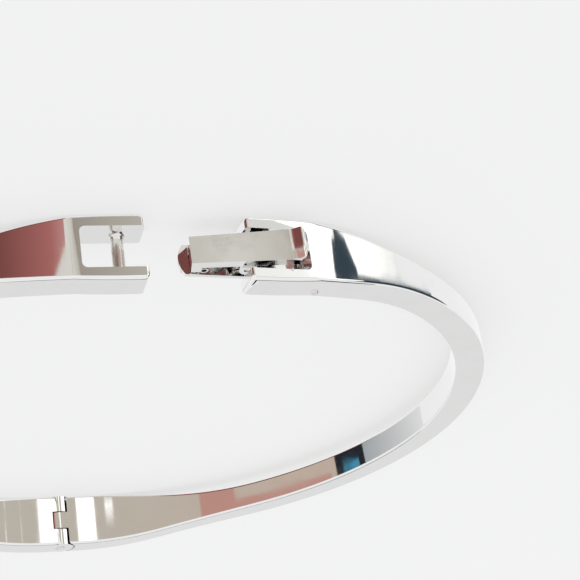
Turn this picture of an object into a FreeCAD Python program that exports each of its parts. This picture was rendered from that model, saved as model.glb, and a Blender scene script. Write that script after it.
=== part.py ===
import FreeCAD, Part
import os
import Sketcher

# Hinged bangle bracelet, in millimetres. The ring lies flat on its edge: its axis is +Z, its lower
# edge is at z = 0, the clasp is at +Y and the hinge at -Y. The latch bow is the +X half.
# Everything is drawn closed; the catch side is then swung open about the hinge pin.

doc = FreeCAD.newDocument("bangle")
sizes = doc.addObject("Spreadsheet::Sheet", "sizes")
SIZES = [
    ("ring_radius", 30.7, "outer radius of the ring"),
    ("band_thickness", 2.6, "radial thickness of the band"),
    ("end_width", 5.1, "width of the band at the clasp and the hinge"),
    ("waist_width", 2.5, "width of the band at the sides"),
    ("taper_start", 1.5, "distance from the middle plane where the band starts to narrow"),
    ("taper_end", 19.0, "distance from the middle plane where it reaches the waist width"),
    ("flat_half", 5.4, "half length of the flat at the clasp"),
    ("tip_gap", 0.05, "distance of each fork tip from the middle plane, closed"),
    ("slot_corner", 0.4, "corner radius at the bottom of the slots"),
    ("edge_round", 0.25, "radius on the long edges of the band"),
    ("hinge_pin_radius", 0.5, "radius of the hinge pin"),
    ("knuckle_width", 1.7, "width of the middle hinge knuckle"),
    ("knuckle_gap", 0.18, "radial clearance round the hinge knuckles; more of it opens the hinge wider"),
    ("knuckle_side_gap", 0.08, "clearance beside the middle hinge knuckle"),
    ("running_gap", 0.03, "radial clearance of a pin in the piece that turns on it"),
    ("bar_radius", 0.45, "radius of the catch bar"),
    ("bar_back", 1.85, "distance of the catch bar from the middle plane, closed"),
    ("bar_gap", 0.06, "clearance between the bar and the tongue plate"),
    ("bar_seat", 0.3, "depth that the bar's ends sit in the fork arms"),
    ("collar_radius", 0.66, "radius of the bar's solder collars"),
    ("collar_height", 0.22, "height of the bar's solder collars"),
    ("collar_gap", 0.22, "clearance between each collar and the tongue plate"),
    ("tongue_width", 2.36, "width of the tongue plate"),
    ("tongue_thickness", 0.36, "thickness of the tongue plate"),
    ("tongue_lead", 0.7, "how far the tongue's front edge stands ahead of the hook"),
    ("tongue_end_gap", 0.15, "clearance between the tongue's front edge and the catch bow's closed slot"),
    ("tongue_bow", 0.45, "how far the middle of the tongue's front edge stands ahead of its corners"),
    ("root_set", 0.8, "distance of the tongue's rivet behind the latch bow's slot"),
    ("root_radius", 0.6, "radius of the tongue's rolled root"),
    ("root_gap", 0.03, "clearance round the tongue's root in its pocket"),
    ("rivet_radius", 0.3, "radius of the tongue's rivet"),
    ("lever_place", 0.3, "distance of the lever's pivot from the middle plane"),
    ("lever_inset", 0.11, "how far the lever's front end is narrower than the tongue, each side"),
    ("lever_overhang", 0.07, "how far the lever's back end is wider than the tongue, each side"),
    ("cover_proud", 0.08, "how far the level cover would stand over the band"),
    ("cover_gap", 0.13, "clearance between the lever's cover and the closed bar"),
    ("hook_depth", 0.7, "thickness of the hook along the lever"),
    ("hook_slant", 0.05, "how far the hook's front face leans back"),
    ("hook_draft", 0.1, "how far the hook's inner face leans forward"),
    ("hook_gap", 0.15, "clearance between the hook and the bar spring"),
    ("foot_gap", 0.07, "clearance between the hook's foot and the tongue plate"),
    ("lip_reach", 4.2, "distance of the lever's back end from its pivot"),
    ("lip_gap", 0.25, "finger room between the lever's back end and the end of the slot"),
    ("lip_rise", 0.42, "height of the thumb lip over the cover"),
    ("lip_corner", 0.5, "radius on the two back corners of the lever, seen from above"),
    ("lip_round", 0.16, "radius on the thumb lip's outer edge"),
    ("lip_flat", 0.12, "width of the flat on top of the thumb lip"),
    ("heel_run", 0.45, "length of the bevel under the thumb lip"),
    ("heel_rise", 0.35, "height of the bevel under the thumb lip"),
    ("scoop_length", 0.8, "length of the scoop in front of the thumb lip"),
    ("cheek_radius", 0.62, "radius of the lever's two cheeks round the pivot"),
    ("cheek_gap", 0.25, "clearance between the cheeks and the tongue plate"),
    ("lug_radius", 0.46, "radius of the tongue's lug round the pivot"),
    ("lug_width", 0.9, "width of the tongue's lug"),
    ("lug_gap", 0.06, "clearance between the lug and the lever, beside and above"),
    ("lever_pin_radius", 0.25, "radius of the lever's pin"),
    ("lever_tilt", 12.0, "tilt of the lever at rest, degrees"),
    ("spring_radius", 0.32, "outer radius of the bar spring's arch"),
    ("spring_thickness", 0.12, "thickness of the bar spring"),
    ("spring_width", 1.7, "width of the bar spring"),
    ("spring_gap", 0.06, "clearance between the bar spring and the closed bar"),
    ("open_angle", 7.0, "how far the catch bow stands open at rest, degrees"),
    ("overlap", 0.1, "how far joined shapes run into each other, and cuts past a face"),
    ("cut_margin", 1.0, "how far a cut starts clear of the band"),
]
for row, (alias, value, note) in enumerate(SIZES, start=1):
    sizes.set(f"A{row}", note)
    sizes.set(f"B{row}", str(value))
    sizes.setAlias(f"B{row}", alias)
doc.recompute()
NAMES = {alias for alias, value, note in SIZES}


def sized(text):
    """Turn the size names in an expression into references to the sheet."""
    words = []
    word = ""
    for letter in text + " ":
        if letter.isalnum() or letter == "_":
            word += letter
            continue
        words.append(f"sizes.{word}" if word in NAMES else word)
        words.append(letter)
        word = ""
    return "".join(words).strip()


# Places and sizes that several pieces share, worked out from the sheet.
INNER_RADIUS = "(ring_radius - band_thickness)"
FACE = "sqrt(ring_radius ^ 2 - flat_half ^ 2)"
INNER_FACE = f"({FACE} - band_thickness)"
INNER_FLAT = f"sqrt({INNER_RADIUS} ^ 2 - {INNER_FACE} ^ 2)"
HINGE_Y = "(band_thickness / 2 - ring_radius)"
KNUCKLE = "(band_thickness / 2)"
KNUCKLE_LOW = "((end_width - knuckle_width) / 2)"
KNUCKLE_HIGH = "((end_width + knuckle_width) / 2)"
SLOT_WIDTH = "(tongue_width + 2 * (collar_height + collar_gap))"
SLOT_LOW = f"((end_width - {SLOT_WIDTH}) / 2)"
SLOT_HIGH = f"((end_width + {SLOT_WIDTH}) / 2)"
EAR_ROOM = f"({KNUCKLE} + knuckle_gap)"
HOOK_REACH = ("(lever_place + bar_back + bar_radius + spring_gap + 2 * spring_radius"
              " + hook_gap + hook_depth)")
TONGUE_REACH = f"({HOOK_REACH} - lever_place + tongue_lead)"
CATCH_SLOT = f"({TONGUE_REACH} + tongue_end_gap)"
LATCH_SLOT = "(lever_place + lip_reach + lip_gap)"
TONGUE_LOW = "((end_width - tongue_width) / 2)"
TONGUE_HIGH = "((end_width + tongue_width) / 2)"
TONGUE_TOP = f"({INNER_FACE} + tongue_thickness)"
ROOT_PLACE = f"({LATCH_SLOT} + root_set)"
ROOT_Y = f"({INNER_FACE} + root_radius)"
BAR_Y = f"({TONGUE_TOP} + bar_gap + bar_radius)"
LEVER_RISE = "(tongue_thickness + cheek_gap + cheek_radius)"
PIVOT_Y = f"({INNER_FACE} + {LEVER_RISE})"
LEVER_FRONT = "(tongue_width - 2 * lever_inset)"
LEVER_BACK = "(tongue_width + 2 * lever_overhang)"
LEVER_TOP = f"(band_thickness - {LEVER_RISE} + cover_proud)"
TILT_SIN = "sin(lever_tilt * 1 deg)"
TILT_COS = "cos(lever_tilt * 1 deg)"

# The lever's cover passes over the bar and over the lug: its underside clears the higher of the two.
OVER_BAR = (f"((bar_back + lever_place) * {TILT_SIN}"
            f" + (tongue_thickness + bar_gap + bar_radius - {LEVER_RISE}) * {TILT_COS}"
            " + bar_radius + cover_gap)")
LEVER_UNDER = f"max({OVER_BAR}; lug_radius + lug_gap)"


def new_body(name):
    body = doc.addObject("PartDesign::Body", name)
    body.Label = name
    return body


def new_sketch(body, name, plane, offset="0"):
    """A sketch on one of the body's origin planes, moved along the plane's normal by offset."""
    sketch = body.newObject("Sketcher::SketchObject", f"{body.Name}_{name}")
    origin = [item for item in body.Origin.OriginFeatures if item.Role == plane][0]
    sketch.AttachmentSupport = [(origin, "")]
    sketch.MapMode = "FlatFace"
    sketch.setExpression("AttachmentOffset.Base.z", sized(offset))
    return sketch


def fix_point(sketch, geometry, end, x, y):
    for kind, place in (("DistanceX", x), ("DistanceY", y)):
        value = float(sketch.evalExpression(sized(place)))
        index = sketch.addConstraint(Sketcher.Constraint(kind, geometry, end, value))
        sketch.setExpression(f"Constraints[{index}]", sized(place))


def draw_circle(sketch, x, y, radius):
    centre = [float(sketch.evalExpression(sized(place))) for place in (x, y)]
    size = float(sketch.evalExpression(sized(radius)))
    circle = Part.Circle(FreeCAD.Vector(centre[0], centre[1], 0), FreeCAD.Vector(0, 0, 1), size)
    geometry = sketch.addGeometry(circle, False)
    index = sketch.addConstraint(Sketcher.Constraint("Radius", geometry, size))
    sketch.setExpression(f"Constraints[{index}]", sized(radius))
    fix_point(sketch, geometry, 3, x, y)


def draw_outline(sketch, corners):
    """A closed outline. Each corner is (x, y) for a line to the next one, or (x, y, radius) for an
    arc to the next one: a radius led by '+' turns anticlockwise, one led by '-' clockwise."""
    places = []
    for corner in corners:
        spot = [float(sketch.evalExpression(sized(place))) for place in corner[:2]]
        places.append(FreeCAD.Vector(spot[0], spot[1], 0))
    first = sketch.GeometryCount
    ends = []
    for number, corner in enumerate(corners):
        start = places[number]
        end = places[(number + 1) % len(corners)]
        if len(corner) == 2:
            geometry = sketch.addGeometry(Part.LineSegment(start, end), False)
            ends.append((geometry, 1, 2))
            continue
        turn, radius = corner[2][0], corner[2][1:]
        size = float(sketch.evalExpression(sized(radius)))
        chord = end - start
        side = FreeCAD.Vector(-chord.y, chord.x, 0).normalize()
        sagitta = size - (size ** 2 - (chord.Length / 2) ** 2) ** 0.5
        if turn == "+":
            side = side * -1
        middle = (start + end) * 0.5 + side * sagitta
        arc = Part.Arc(start, middle, end)
        geometry = sketch.addGeometry(arc, False)
        # A sketch keeps every arc anticlockwise, so a clockwise one starts at its second corner.
        ends.append((geometry, 1, 2) if turn == "+" else (geometry, 2, 1))
        index = sketch.addConstraint(Sketcher.Constraint("Radius", geometry, size))
        sketch.setExpression(f"Constraints[{index}]", sized(radius))
    for number, (geometry, start_end, far_end) in enumerate(ends):
        following = ends[(number + 1) % len(ends)]
        meet = Sketcher.Constraint("Coincident", geometry, far_end, following[0], following[1])
        sketch.addConstraint(meet)
        fix_point(sketch, geometry, start_end, corners[number][0], corners[number][1])


def add_feature(body, kind, name, sketch, length=None, both_ways=False, flip=False):
    """A pad or a pocket of a sketch: a length, or through everything when length is None."""
    before = body.Shape.Volume if body.Tip else 0.0
    feature = body.newObject(f"PartDesign::{kind}", f"{body.Name}_{name}")
    feature.Profile = sketch
    if length is None:
        feature.Type = "ThroughAll"
    else:
        feature.Type = "Length"
        feature.setExpression("Length", sized(length))
    feature.Midplane = both_ways
    feature.Reversed = flip
    doc.recompute()
    if kind == "Pocket" and not body.Shape.Volume < before - 1e-6:
        raise ValueError(f"{feature.Name} cut nothing")
    if kind == "Pad" and not body.Shape.Volume > before + 1e-6:
        raise ValueError(f"{feature.Name} added nothing")
    return feature


def place_body(body, x, y, z, angle="0"):
    """Put a body's own origin at x, y, z and turn it about +Z."""
    for axis, place in (("x", x), ("y", y), ("z", z)):
        body.setExpression(f"Placement.Base.{axis}", sized(place))
    body.setExpression("Placement.Rotation.Angle", sized(angle))


def swing_open(body):
    """Turn a body of the catch side about the hinge pin, from closed to its resting angle."""
    place_body(body, f"{HINGE_Y} * sin(open_angle * 1 deg)",
               f"{HINGE_Y} * (1 - cos(open_angle * 1 deg))", "0", "open_angle")


def half_ring(body, side):
    """Half of the band, from the clasp to the hinge, on the side +1 or -1 of the middle plane."""
    out, back = ("-", "+") if side > 0 else ("+", "-")
    ring = new_sketch(body, "ring", "XY_Plane")
    draw_outline(ring, [
        (f"{side} * tip_gap", FACE),
        (f"{side} * flat_half", FACE, f"{out}ring_radius"),
        (f"{side} * ring_radius", "0", f"{out}ring_radius"),
        ("0", "-ring_radius"),
        ("0", f"-{INNER_RADIUS}", f"{back}{INNER_RADIUS}"),
        (f"{side} * {INNER_RADIUS}", "0", f"{back}{INNER_RADIUS}"),
        (f"{side} * {INNER_FLAT}", INNER_FACE),
        (f"{side} * tip_gap", INNER_FACE),
    ])
    add_feature(body, "Pad", "band", ring, "end_width")

    # Two arcs of one radius meet halfway, so the edge runs smoothly from the full width to the waist.
    drop = "((end_width - waist_width) / 2)"
    run = "(taper_end - taper_start)"
    sweep = f"(({run} ^ 2 + {drop} ^ 2) / (4 * {drop}))"
    for name, level, way in (("upper", "end_width", "-1"), ("lower", "0", "1")):
        falling = (way == "-1") == (side > 0)
        first, second = ("-", "+") if falling else ("+", "-")
        waist = new_sketch(body, f"{name}_taper", "XZ_Plane")
        draw_outline(waist, [
            (f"{side} * taper_start", level, f"{first}{sweep}"),
            (f"{side} * (taper_start + {run} / 2)", f"{level} + {way} * {drop} / 2", f"{second}{sweep}"),
            (f"{side} * taper_end", f"{level} + {way} * {drop}"),
            (f"{side} * (ring_radius + cut_margin)", f"{level} + {way} * {drop}"),
            (f"{side} * (ring_radius + cut_margin)", f"{level} - {way} * cut_margin"),
            (f"{side} * taper_start", f"{level} - {way} * cut_margin"),
        ])
        add_feature(body, "Pocket", f"{name}_waist", waist, None, both_ways=True)


def cut_fork(body, side, depth):
    """The open-ended slot of a fork, with its bottom corners rounded."""
    slot = new_sketch(body, "slot", "XZ_Plane", f"-({INNER_FACE} - cut_margin)")
    turn = "+" if side > 0 else "-"
    draw_outline(slot, [
        (f"-{side} * cut_margin", SLOT_LOW),
        (f"{side} * ({depth} - slot_corner)", SLOT_LOW, f"{turn}slot_corner"),
        (f"{side} * {depth}", f"{SLOT_LOW} + slot_corner"),
        (f"{side} * {depth}", f"{SLOT_HIGH} - slot_corner", f"{turn}slot_corner"),
        (f"{side} * ({depth} - slot_corner)", SLOT_HIGH),
        (f"-{side} * cut_margin", SLOT_HIGH),
    ])
    add_feature(body, "Pocket", "fork", slot, "band_thickness + 2 * cut_margin")


def round_edges(body, name, radius, wanted):
    """Round the edges whose two ends and middle all pass a test."""
    picked = []
    for number, edge in enumerate(body.Shape.Edges, start=1):
        spots = [edge.valueAt(edge.FirstParameter + part * (edge.LastParameter - edge.FirstParameter))
                 for part in (0.0, 0.5, 1.0)]
        if all(wanted(spot) for spot in spots):
            picked.append(f"Edge{number}")
    rounded = body.newObject("PartDesign::Fillet", f"{body.Name}_{name}")
    rounded.Base = (body.Tip if body.Tip is not rounded else rounded.BaseFeature, picked)
    rounded.setExpression("Radius", sized(radius))
    body.Tip = rounded
    doc.recompute()


# Latch bow: the half ring that carries the latch, with the middle knuckle of the hinge.
latch_bow = new_body("latch_bow")
half_ring(latch_bow, 1)
cut_fork(latch_bow, 1, LATCH_SLOT)
for name, level, flip in (("lower", "0", True), ("upper", "end_width", False)):
    room = new_sketch(latch_bow, f"{name}_ear_room", "XY_Plane", level)
    draw_circle(room, "0", HINGE_Y, EAR_ROOM)
    add_feature(latch_bow, "Pocket", f"{name}_shoulder", room, KNUCKLE_LOW, flip=flip)
knuckle = new_sketch(latch_bow, "knuckle", "XY_Plane", KNUCKLE_LOW)
draw_circle(knuckle, "0", HINGE_Y, KNUCKLE)
add_feature(latch_bow, "Pad", "middle_knuckle", knuckle, "knuckle_width")
pin_hole = new_sketch(latch_bow, "pin_hole", "XY_Plane")
draw_circle(pin_hole, "0", HINGE_Y, "hinge_pin_radius + running_gap")
add_feature(latch_bow, "Pocket", "pin_bore", pin_hole, None, both_ways=True)

# The tongue plate's root lies in a pocket behind the slot, open to the inside of the ring.
pocket = new_sketch(latch_bow, "root_pocket", "XZ_Plane", f"-({INNER_FACE} - cut_margin)")
pocket_start = f"{LATCH_SLOT} - slot_corner - overlap"
pocket_end = f"{ROOT_PLACE} + root_radius + root_gap"
draw_outline(pocket, [
    (pocket_start, f"{TONGUE_LOW} - root_gap"),
    (pocket_end, f"{TONGUE_LOW} - root_gap"),
    (pocket_end, f"{TONGUE_HIGH} + root_gap"),
    (pocket_start, f"{TONGUE_HIGH} + root_gap"),
])
add_feature(latch_bow, "Pocket", "root_room", pocket, "cut_margin + 2 * root_radius + root_gap")
rivet_hole = new_sketch(latch_bow, "rivet_hole", "XY_Plane")
draw_circle(rivet_hole, ROOT_PLACE, ROOT_Y, "rivet_radius")
add_feature(latch_bow, "Pocket", "rivet_bore", rivet_hole, None, both_ways=True)

# Catch bow: the half ring that the latch hooks, with the two outer knuckles of the hinge.
catch_bow = new_body("catch_bow")
half_ring(catch_bow, -1)
cut_fork(catch_bow, -1, CATCH_SLOT)
room = new_sketch(catch_bow, "knuckle_room", "XY_Plane", f"{KNUCKLE_LOW} - knuckle_side_gap")
draw_circle(room, "0", HINGE_Y, EAR_ROOM)
add_feature(catch_bow, "Pocket", "shoulder", room, "knuckle_width + 2 * knuckle_side_gap", flip=True)
for name, level in (("lower", "0"), ("upper", f"{KNUCKLE_HIGH} + knuckle_side_gap")):
    ear = new_sketch(catch_bow, f"{name}_ear", "XY_Plane", level)
    draw_circle(ear, "0", HINGE_Y, KNUCKLE)
    add_feature(catch_bow, "Pad", f"{name}_knuckle", ear, f"{KNUCKLE_LOW} - knuckle_side_gap")
pin_hole = new_sketch(catch_bow, "pin_hole", "XY_Plane")
draw_circle(pin_hole, "0", HINGE_Y, "hinge_pin_radius")
add_feature(catch_bow, "Pocket", "pin_bore", pin_hole, None, both_ways=True)
seat = new_sketch(catch_bow, "bar_seat", "XY_Plane", f"{SLOT_LOW} - bar_seat")
draw_circle(seat, "-bar_back", BAR_Y, "bar_radius")
add_feature(catch_bow, "Pocket", "bar_bore", seat, f"{SLOT_WIDTH} + 2 * bar_seat", flip=True)
swing_open(catch_bow)

# Hinge pin: a flush pin through all three knuckles, tight in the outer two.
hinge_pin = new_body("hinge_pin")
section = new_sketch(hinge_pin, "section", "XY_Plane")
draw_circle(section, "0", HINGE_Y, "hinge_pin_radius")
add_feature(hinge_pin, "Pad", "pin", section, "end_width")
swing_open(hinge_pin)

# Catch bar: a round bar across the catch bow's slot, with a solder collar at each arm.
catch_bar = new_body("catch_bar")
section = new_sketch(catch_bar, "section", "XY_Plane", f"{SLOT_LOW} - bar_seat")
draw_circle(section, "-bar_back", BAR_Y, "bar_radius")
add_feature(catch_bar, "Pad", "bar", section, f"{SLOT_WIDTH} + 2 * bar_seat")
for name, level in (("lower", SLOT_LOW), ("upper", f"{SLOT_HIGH} - collar_height")):
    collar = new_sketch(catch_bar, f"{name}_collar", "XY_Plane", level)
    draw_circle(collar, "-bar_back", BAR_Y, "collar_radius")
    add_feature(catch_bar, "Pad", f"{name}_ring", collar, "collar_height")
swing_open(catch_bar)

# Tongue plate: a thin strip flush with the inner face, rolled round its rivet at the root, with a
# rounded front edge and a lug that carries the lever's pivot.
tongue_plate = new_body("tongue_plate")
profile = new_sketch(tongue_plate, "profile", "XY_Plane", TONGUE_LOW)
draw_outline(profile, [
    (f"-{TONGUE_REACH}", INNER_FACE),
    (ROOT_PLACE, INNER_FACE, "+root_radius"),
    (f"{ROOT_PLACE} + root_radius", ROOT_Y, "+root_radius"),
    (ROOT_PLACE, f"{ROOT_Y} + root_radius", "+root_radius"),
    (f"{ROOT_PLACE} - sqrt(root_radius ^ 2 - (root_radius - tongue_thickness) ^ 2)", TONGUE_TOP),
    (f"-{TONGUE_REACH}", TONGUE_TOP),
])
add_feature(tongue_plate, "Pad", "strip", profile, "tongue_width")
lug = new_sketch(tongue_plate, "lug", "XY_Plane", "(end_width - lug_width) / 2")
draw_outline(lug, [
    ("lever_place - lug_radius", f"{TONGUE_TOP} - overlap"),
    ("lever_place + lug_radius", f"{TONGUE_TOP} - overlap"),
    ("lever_place + lug_radius", PIVOT_Y, "+lug_radius"),
    ("lever_place", f"{PIVOT_Y} + lug_radius", "+lug_radius"),
    ("lever_place - lug_radius", PIVOT_Y),
])
add_feature(tongue_plate, "Pad", "pivot_lug", lug, "lug_width")
front = new_sketch(tongue_plate, "front", "XZ_Plane", f"-({INNER_FACE} - cut_margin)")
front_sweep = "((tongue_bow ^ 2 + (tongue_width / 2) ^ 2) / (2 * tongue_bow))"
draw_outline(front, [
    (f"-{TONGUE_REACH} - cut_margin", f"{TONGUE_LOW} - cut_margin"),
    (f"-{TONGUE_REACH} + tongue_bow", f"{TONGUE_LOW} - cut_margin"),
    (f"-{TONGUE_REACH} + tongue_bow", TONGUE_LOW, f"-{front_sweep}"),
    (f"-{TONGUE_REACH}", "end_width / 2", f"-{front_sweep}"),
    (f"-{TONGUE_REACH} + tongue_bow", TONGUE_HIGH),
    (f"-{TONGUE_REACH} + tongue_bow", f"{TONGUE_HIGH} + cut_margin"),
    (f"-{TONGUE_REACH} - cut_margin", f"{TONGUE_HIGH} + cut_margin"),
])
add_feature(tongue_plate, "Pocket", "front_edge", front, "tongue_thickness + 2 * cut_margin")
for name, x, y, radius in (("rivet", ROOT_PLACE, ROOT_Y, "rivet_radius"),
                           ("pivot", "lever_place", PIVOT_Y, "lever_pin_radius")):
    hole = new_sketch(tongue_plate, f"{name}_hole", "XY_Plane")
    draw_circle(hole, x, y, radius)
    add_feature(tongue_plate, "Pocket", f"{name}_bore", hole, None, both_ways=True)

# Tongue rivet: a flush cross pin through both arms and the tongue's root.
tongue_rivet = new_body("tongue_rivet")
section = new_sketch(tongue_rivet, "section", "XY_Plane")
draw_circle(section, ROOT_PLACE, ROOT_Y, "rivet_radius")
add_feature(tongue_rivet, "Pad", "rivet", section, "end_width")

# Latch lever, drawn level about its own pivot: the hook at the front, the thumb lip at the back.
latch_lever = new_body("latch_lever")
profile = new_sketch(latch_lever, "profile", "XY_Plane")
foot = (f"((tongue_thickness + foot_gap - {LEVER_RISE} + ({HOOK_REACH} - hook_slant) * {TILT_SIN})"
        f" / {TILT_COS})")
scoop_bow = "((scoop_length ^ 2 + lip_rise ^ 2) / (2 * lip_rise))"
draw_outline(profile, [
    (f"-{HOOK_REACH}", LEVER_TOP),
    (f"-{HOOK_REACH} + hook_slant", foot),
    (f"-{HOOK_REACH} + hook_depth", foot),
    (f"-{HOOK_REACH} + hook_depth + hook_draft", LEVER_UNDER),
    ("-cheek_radius", LEVER_UNDER),
    ("-cheek_radius", "0", "+cheek_radius"),
    ("0", "-cheek_radius", "+cheek_radius"),
    ("cheek_radius", "0"),
    ("cheek_radius", LEVER_UNDER),
    ("lip_reach - heel_run", LEVER_UNDER),
    ("lip_reach", f"{LEVER_UNDER} + heel_rise"),
    ("lip_reach", f"{LEVER_TOP} + lip_rise - lip_round", "+lip_round"),
    ("lip_reach - lip_round", f"{LEVER_TOP} + lip_rise"),
    ("lip_reach - lip_round - lip_flat", f"{LEVER_TOP} + lip_rise", f"-{scoop_bow}"),
    ("lip_reach - lip_round - lip_flat - scoop_length", LEVER_TOP),
])
add_feature(latch_lever, "Pad", "cover", profile, LEVER_BACK, both_ways=True)

# Two cuts narrow it from the lip to the hook and round its back corners.
flank_start = f"(-{HOOK_REACH} - overlap)"
flank_slope = f"(({LEVER_BACK} - {LEVER_FRONT}) / 2 / ({HOOK_REACH} + lip_reach - lip_corner))"
for name, way, turn in (("upper", "1", "-"), ("lower", "-1", "+")):
    flank = new_sketch(latch_lever, f"{name}_flank", "XZ_Plane")
    draw_outline(flank, [
        (flank_start, f"{way} * ({LEVER_FRONT} / 2 - {flank_slope} * overlap)"),
        ("lip_reach - lip_corner", f"{way} * {LEVER_BACK} / 2", f"{turn}lip_corner"),
        ("lip_reach", f"{way} * ({LEVER_BACK} / 2 - lip_corner)"),
        ("lip_reach + overlap", f"{way} * ({LEVER_BACK} / 2 - lip_corner)"),
        ("lip_reach + overlap", f"{way} * ({LEVER_BACK} / 2 + overlap)"),
        (flank_start, f"{way} * ({LEVER_BACK} / 2 + overlap)"),
    ])
    add_feature(latch_lever, "Pocket", f"{name}_side", flank, None, both_ways=True)
lug_room = new_sketch(latch_lever, "lug_room", "XZ_Plane", f"-{LEVER_UNDER}")
draw_outline(lug_room, [
    ("-cheek_radius - overlap", "-lug_width / 2 - lug_gap"),
    ("cheek_radius + overlap", "-lug_width / 2 - lug_gap"),
    ("cheek_radius + overlap", "lug_width / 2 + lug_gap"),
    ("-cheek_radius - overlap", "lug_width / 2 + lug_gap"),
])
add_feature(latch_lever, "Pocket", "lug_slot", lug_room, None, flip=True)
pin_hole = new_sketch(latch_lever, "pin_hole", "XY_Plane")
draw_circle(pin_hole, "0", "0", "lever_pin_radius + running_gap")
add_feature(latch_lever, "Pocket", "pin_bore", pin_hole, None, both_ways=True)
place_body(latch_lever, "lever_place", PIVOT_Y, "end_width / 2", "lever_tilt")

# Lever pin: tight in the tongue's lug, and a little shorter than the lever is wide.
lever_pin = new_body("lever_pin")
section = new_sketch(lever_pin, "section", "XY_Plane", f"(end_width - {LEVER_FRONT}) / 2")
draw_circle(section, "lever_place", PIVOT_Y, "lever_pin_radius")
add_feature(lever_pin, "Pad", "pin", section, LEVER_FRONT)

# Bar spring: an arch of thin strip on the tongue plate, between the hook's foot and the closed bar.
bar_spring = new_body("bar_spring")
arch = new_sketch(bar_spring, "arch", "XY_Plane", "(end_width - spring_width) / 2")
arch_x = "(-bar_back - bar_radius - spring_gap - spring_radius)"
arch_in = "(spring_radius - spring_thickness)"
draw_outline(arch, [
    (f"{arch_x} + spring_radius", TONGUE_TOP, "+spring_radius"),
    (arch_x, f"{TONGUE_TOP} + spring_radius", "+spring_radius"),
    (f"{arch_x} - spring_radius", TONGUE_TOP),
    (f"{arch_x} - {arch_in}", TONGUE_TOP, f"-{arch_in}"),
    (arch_x, f"{TONGUE_TOP} + {arch_in}", f"-{arch_in}"),
    (f"{arch_x} + {arch_in}", TONGUE_TOP),
])
add_feature(bar_spring, "Pad", "strip", arch, "spring_width")

# The bows' long edges on the outer skin are rounded last, up to the hinge knuckles.
outer = float(sizes.get("ring_radius"))
flat = float(sizes.get("flat_half"))
face = (outer ** 2 - flat ** 2) ** 0.5
knuckle_edge = 1.1 * (float(sizes.get("band_thickness")) / 2 + float(sizes.get("knuckle_gap")))
hinge = FreeCAD.Vector(0, float(sizes.get("band_thickness")) / 2 - outer, 0)
NEAR = 1e-3


def on_skin(spot, turn):
    """True for a point on the band's outer skin, once the turn has closed its bow."""
    closed = turn.multVec(spot - hinge) + hinge
    if closed.y < 0 and abs(closed.x) < knuckle_edge:
        return False
    if closed.y > 0 and abs(closed.x) < flat + NEAR:
        return abs(closed.y - face) < NEAR
    return abs((closed.x ** 2 + closed.y ** 2) ** 0.5 - outer) < NEAR


closing_turn = FreeCAD.Rotation(FreeCAD.Vector(0, 0, 1), -float(sizes.get("open_angle")))
round_edges(latch_bow, "soft_edges", "edge_round", lambda spot: on_skin(spot, FreeCAD.Rotation()))
round_edges(catch_bow, "soft_edges", "edge_round", lambda spot: on_skin(spot, closing_turn))

doc.recompute()
BODIES = [latch_bow, catch_bow, hinge_pin, catch_bar, tongue_plate, tongue_rivet, latch_lever,
          lever_pin, bar_spring]
for item in doc.Objects:
    if "Invalid" in item.State or "Error" in item.State:
        raise ValueError(f"{item.Name} failed to compute")
os.makedirs("parts", exist_ok=True)
for body in BODIES:
    if body.Shape.isNull() or not body.Shape.isValid():
        raise ValueError(f"{body.Label} has no valid shape")
for body in BODIES:
    body.Shape.exportStep(f"parts/{body.Label}.step")
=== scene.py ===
# %% [markdown]
# # A hinged bangle with a snap clasp
# The bracelet is two half rings of bright plated metal. They turn on a pin at the back (-Y) and meet
# at the front (+Y). The left one ends in a fork with a cross bar, the right one in a fork that
# carries a spring tongue and a small lever. The lever's hook drops behind the bar.
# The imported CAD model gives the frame, and every new piece is made in its place, in metres.

import math

import bmesh
import bpy
from mathutils import Matrix, Vector, noise


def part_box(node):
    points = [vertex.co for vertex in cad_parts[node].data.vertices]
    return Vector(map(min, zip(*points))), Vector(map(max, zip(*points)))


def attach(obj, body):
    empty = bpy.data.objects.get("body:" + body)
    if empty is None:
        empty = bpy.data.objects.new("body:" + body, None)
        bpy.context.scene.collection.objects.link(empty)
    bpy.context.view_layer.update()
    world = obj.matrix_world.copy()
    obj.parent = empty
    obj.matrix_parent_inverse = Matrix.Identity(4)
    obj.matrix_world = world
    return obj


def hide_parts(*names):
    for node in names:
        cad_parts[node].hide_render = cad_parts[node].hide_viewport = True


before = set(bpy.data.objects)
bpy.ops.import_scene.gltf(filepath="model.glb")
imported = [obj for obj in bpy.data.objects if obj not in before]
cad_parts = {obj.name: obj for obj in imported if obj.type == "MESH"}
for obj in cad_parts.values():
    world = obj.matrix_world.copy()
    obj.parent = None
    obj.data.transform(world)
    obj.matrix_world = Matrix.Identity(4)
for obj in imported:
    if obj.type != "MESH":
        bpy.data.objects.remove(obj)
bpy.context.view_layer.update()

# %% [markdown]
# ## Sizes
# A jeweller's drawing is in millimetres, so the sizes are written that way and multiplied by MM.
# The large ones are read off the CAD pieces. The small ones repeat the CAD source's own values.

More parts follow.
